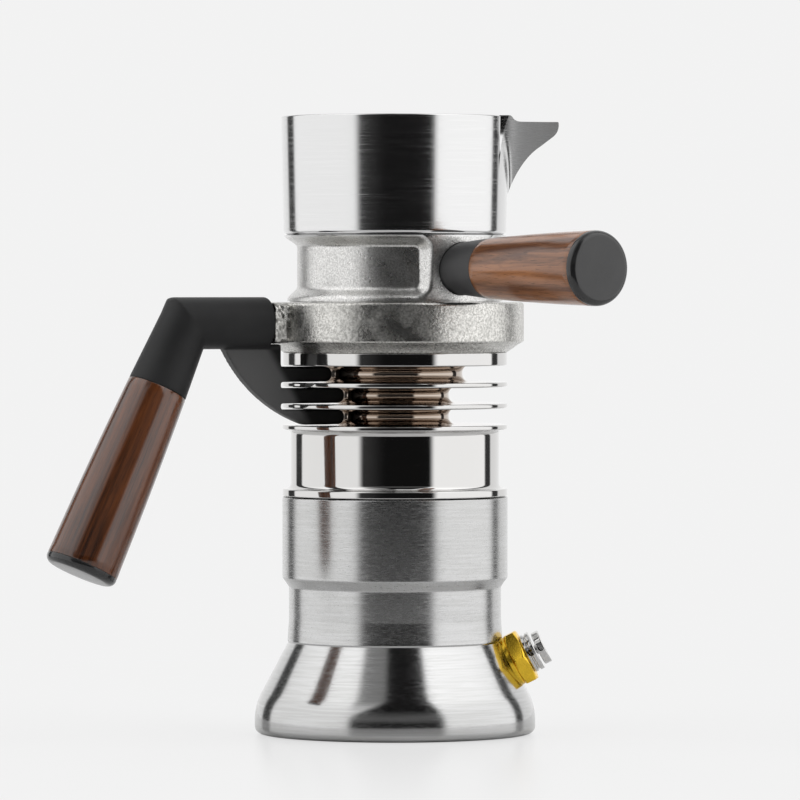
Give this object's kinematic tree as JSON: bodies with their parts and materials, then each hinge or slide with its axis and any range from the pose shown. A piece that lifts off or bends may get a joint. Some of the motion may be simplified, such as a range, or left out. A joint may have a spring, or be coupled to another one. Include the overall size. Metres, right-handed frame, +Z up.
{
  "type": "stovetop espresso maker",
  "caption": "Stovetop espresso maker with a flared boiler, a finned heat exchanger, a brew ring, a pouring cup, wooden handles, screw joints and a relief valve.",
  "frame": {"origin": "centre of the boiler's underside, on the surface it stands on", "axes": "+Z up along the axis of both screw threads, +X towards the spout, -Y towards the viewer of the picture"},
  "size_m": [0.1912, 0.1415, 0.2086],
  "materials": {
    "brushed_steel": "fine turned and brushed stainless steel",
    "polished_steel": "mirror-polished stainless steel",
    "cast_steel": "as-cast and satin stainless steel with a fine sparkle",
    "plain_steel": "plain drawn stainless steel",
    "black_metal": "satin black coating",
    "walnut": "oiled walnut",
    "brass": "machined brass",
    "silicone": "translucent white silicone"
  },
  "bodies": {
    "boiler": {"boiler_vessel": "brushed_steel", "boiler_thread": "brushed_steel", "relief_washer": "brass", "relief_body": "brass", "relief_cap": "polished_steel", "relief_spring": "plain_steel"},
    "relief_plunger": {"relief_stem": "polished_steel"},
    "lower_seal": {"boiler_seal": "silicone"},
    "heat_unit": {"finned_body": "polished_steel", "spigot_thread": "polished_steel", "regulator_body": "brass", "regulator_spring": "plain_steel", "regulator_adjuster": "brass", "dip_tube": "plain_steel", "exchanger_coil": "plain_steel", "chamber_seal": "silicone", "chamber_lid": "brass", "brew_ring": "cast_steel", "ring_thread": "cast_steel", "arm_stud": "plain_steel", "elbow_arm": "black_metal", "arm_set_screw": "plain_steel", "elbow_grip": "walnut", "elbow_grip_rod": "plain_steel", "elbow_grip_nut": "plain_steel", "elbow_end_cap": "black_metal"},
    "regulator_plunger": {"regulator_poppet": "plain_steel"},
    "basket": {"filter_basket": "polished_steel"},
    "upper_seal": {"brew_seal": "silicone"},
    "top_unit": {"cup_casting": "cast_steel", "cup_thread": "cast_steel", "brew_screen": "plain_steel", "outlet_post": "plain_steel", "handle_stud": "plain_steel", "handle_ferrule": "black_metal", "handle_grip": "walnut", "handle_nut": "plain_steel", "handle_end_cap": "black_metal"}
  },
  "joints": [
    {"name": "relief_lift", "type": "slide", "parent": "boiler", "child": "relief_plunger", "axis": [0.8923, -0.0624, 0.4471], "range_m": [0, 0.0015], "stiffness_N_per_m": 4000, "springref_m": -0.003, "deforming": ["relief_spring"]},
    {"name": "heat_unit_rise", "type": "slide", "parent": "boiler", "child": "lower_seal", "axis": [0, 0, 1], "range_m": [0, 0.078]},
    {"name": "heat_unit_turn", "type": "hinge", "parent": "lower_seal", "child": "heat_unit", "pos_m": [0, 0, 0.0804], "axis": [0, 0, 1], "range_deg": [0, 2340]},
    {"name": "regulator_lift", "type": "slide", "parent": "heat_unit", "child": "regulator_plunger", "axis": [0, 0, 1], "range_m": [0, 0.0015], "stiffness_N_per_m": 4000, "springref_m": -0.003, "deforming": ["regulator_spring"]},
    {"name": "basket_lift", "type": "slide", "parent": "heat_unit", "child": "basket", "axis": [0, 0, 1], "range_m": [0, 0.018]},
    {"name": "top_rise", "type": "slide", "parent": "heat_unit", "child": "upper_seal", "axis": [0, 0, 1], "range_m": [0, 0.036]},
    {"name": "top_turn", "type": "hinge", "parent": "upper_seal", "child": "top_unit", "pos_m": [0, 0, 0.1462], "axis": [0, 0, 1], "range_deg": [0, 1080]}
  ],
  "couplings": [
    {"joint": "heat_unit_rise", "follows": "heat_unit_turn", "m_per_rad": 0.0019099},
    {"joint": "top_rise", "follows": "top_turn", "m_per_rad": 0.0019099},
    {"joint": "basket_lift", "follows": "top_turn", "m_per_rad": 0.00095493}
  ]
}
